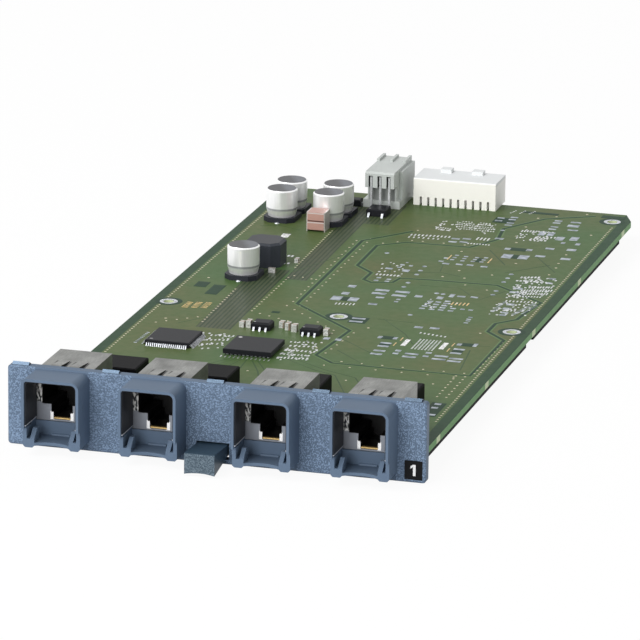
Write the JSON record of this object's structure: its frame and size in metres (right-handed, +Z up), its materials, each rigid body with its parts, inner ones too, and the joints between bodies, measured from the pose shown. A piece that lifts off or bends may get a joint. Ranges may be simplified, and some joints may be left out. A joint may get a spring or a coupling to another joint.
{
  "type": "pbx media module",
  "caption": "Plug-in media module: moulded front panel with collared network jacks and a sprung release lever, on a long circuit board with rear connectors.",
  "frame": {"origin": "under the middle of the whole module, level with the front panel's foot", "axes": "+X along the front panel to the right as seen from the front, +Y from the panel to the rear connectors, +Z up"},
  "size_m": [0.125, 0.2924, 0.0246],
  "materials": {
    "panel_blue_grey": "fine textured moulding",
    "lever_teal": "fine textured moulding",
    "label_black": "matt print film",
    "board_green": "solder mask over copper",
    "insulator_black": "matt sheet",
    "tinned_steel": "tin plate",
    "insert_black": "moulded",
    "contact_gold": "gold plated",
    "spring_steel": "bright",
    "package_black": "moulded epoxy",
    "solder_tin": "bright tin",
    "can_aluminium": "drawn",
    "capacitor_base_black": "moulded",
    "ferrite_grey": "ferrite",
    "ceramic_pink": "ceramic",
    "connector_grey": "moulded",
    "connector_cream": "moulded",
    "screw_steel": "zinc plate",
    "ceramic_brown": "ceramic"
  },
  "bodies": {
    "module": {"backplane_connector": "connector_cream", "backplane_contacts": "contact_gold", "bridge_rectifier": "package_black", "capacitor_base_1": "capacitor_base_black", "capacitor_base_2": "capacitor_base_black", "capacitor_base_3": "capacitor_base_black", "capacitor_base_4": "capacitor_base_black", "capacitor_base_5": "capacitor_base_black", "capacitor_can_1": "can_aluminium", "capacitor_can_2": "can_aluminium", "capacitor_can_3": "can_aluminium", "capacitor_can_4": "can_aluminium", "capacitor_can_5": "can_aluminium", "chip_capacitors": "ceramic_brown", "collar_liner_1": "tinned_steel", "collar_liner_2": "tinned_steel", "collar_liner_3": "tinned_steel", "collar_liner_4": "tinned_steel", "controller_chip": "package_black", "controller_leads": "solder_tin", "diode": "package_black", "driver_chip_1": "package_black", "driver_chip_2": "package_black", "emc_spring_strip": "spring_steel", "front_panel": "panel_blue_grey", "jack_contacts_1": "contact_gold", "jack_contacts_2": "contact_gold", "jack_contacts_3": "contact_gold", "jack_contacts_4": "contact_gold", "jack_insert_1": "insert_black", "jack_insert_2": "insert_black", "jack_insert_3": "insert_black", "jack_insert_4": "insert_black", "jack_shield_1": "tinned_steel", "jack_shield_2": "tinned_steel", "jack_shield_3": "tinned_steel", "jack_shield_4": "tinned_steel", "lever_pivot_pin": "spring_steel", "lever_return_spring": "spring_steel", "line_transformer_1": "package_black", "line_transformer_2": "package_black", "line_transformer_3": "package_black", "line_transformer_4": "package_black", "main_board": "board_green", "number_label": "label_black", "panel_screws": "screw_steel", "power_connector": "connector_grey", "power_inductor": "ferrite_grey", "power_pins": "solder_tin", "small_leads": "solder_tin", "stacked_capacitor": "ceramic_pink", "switch_chip": "package_black", "switch_chip_balls": "solder_tin", "transformer_leads": "solder_tin", "underside_insulator": "insulator_black"},
    "lever": {"release_lever": "lever_teal"}
  },
  "joints": [
    {"name": "release_lever_pivot", "type": "hinge", "parent": "module", "child": "lever", "pos_m": [-0.0006, -0.12625, 0.003], "axis": [1, 0, 0], "range_deg": [0, 5], "stiffness_Nm_per_rad": 0.25, "springref_deg": -6.88, "deforming": ["lever_return_spring"]}
  ]
}
